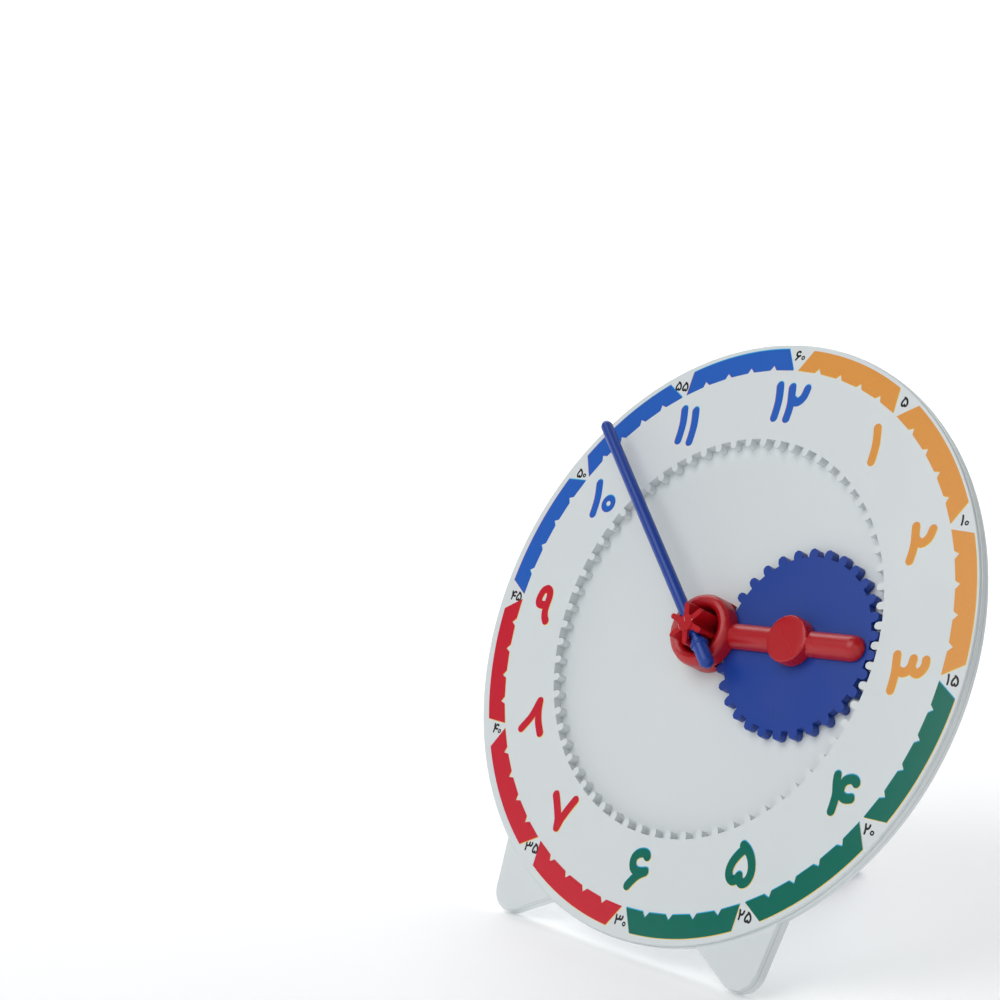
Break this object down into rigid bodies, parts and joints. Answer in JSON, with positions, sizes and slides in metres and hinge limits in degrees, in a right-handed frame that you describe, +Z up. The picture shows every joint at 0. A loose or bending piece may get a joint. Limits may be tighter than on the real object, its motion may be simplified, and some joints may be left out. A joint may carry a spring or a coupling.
{
  "type": "teaching clock",
  "caption": "Round teaching clock on feet and a plug-in rear leg, with an open gear train that links the hour hand to the minute hand and a knob behind.",
  "frame": {"origin": "middle of the footprint of the standing clock, on the surface that it stands on", "axes": "+Z up, +X to the right as the dial is read, -Y towards the reader; the dial leans back"},
  "size_m": [0.2026, 0.1194, 0.1865],
  "materials": {
    "white_abs": "semi-gloss",
    "red_plastic": "gloss",
    "blue_plastic": "gloss"
  },
  "bodies": {
    "plate": {"dial_plate": "white_abs"},
    "minute_train": {"sun_pinion": "red_plastic", "minute_hand": "blue_plastic", "back_knob": "red_plastic"},
    "hour_arm": {"hour_hand": "red_plastic"},
    "planet": {"planet_gear": "blue_plastic"},
    "leg": {"stand_leg": "blue_plastic"}
  },
  "joints": [
    {"name": "minute_spin", "type": "hinge", "parent": "plate", "child": "minute_train", "pos_m": [0, -0.01462, 0.09625], "axis": [0, 0.8959, -0.4442], "continuous": true},
    {"name": "hour_spin", "type": "hinge", "parent": "plate", "child": "hour_arm", "pos_m": [0, -0.01462, 0.09625], "axis": [0, 0.8959, -0.4442], "continuous": true},
    {"name": "planet_spin", "type": "hinge", "parent": "hour_arm", "child": "planet", "pos_m": [0.03592, -0.01354, 0.09844], "axis": [0, 0.8959, -0.4442], "continuous": true},
    {"name": "leg_slide", "type": "slide", "parent": "plate", "child": "leg", "axis": [0, 0.9369, -0.3497], "range_m": [0, 0.006]}
  ],
  "couplings": [
    {"joint": "hour_spin", "follows": "minute_spin", "ratio": 0.083333},
    {"joint": "planet_spin", "follows": "minute_spin", "ratio": -0.18333}
  ]
}
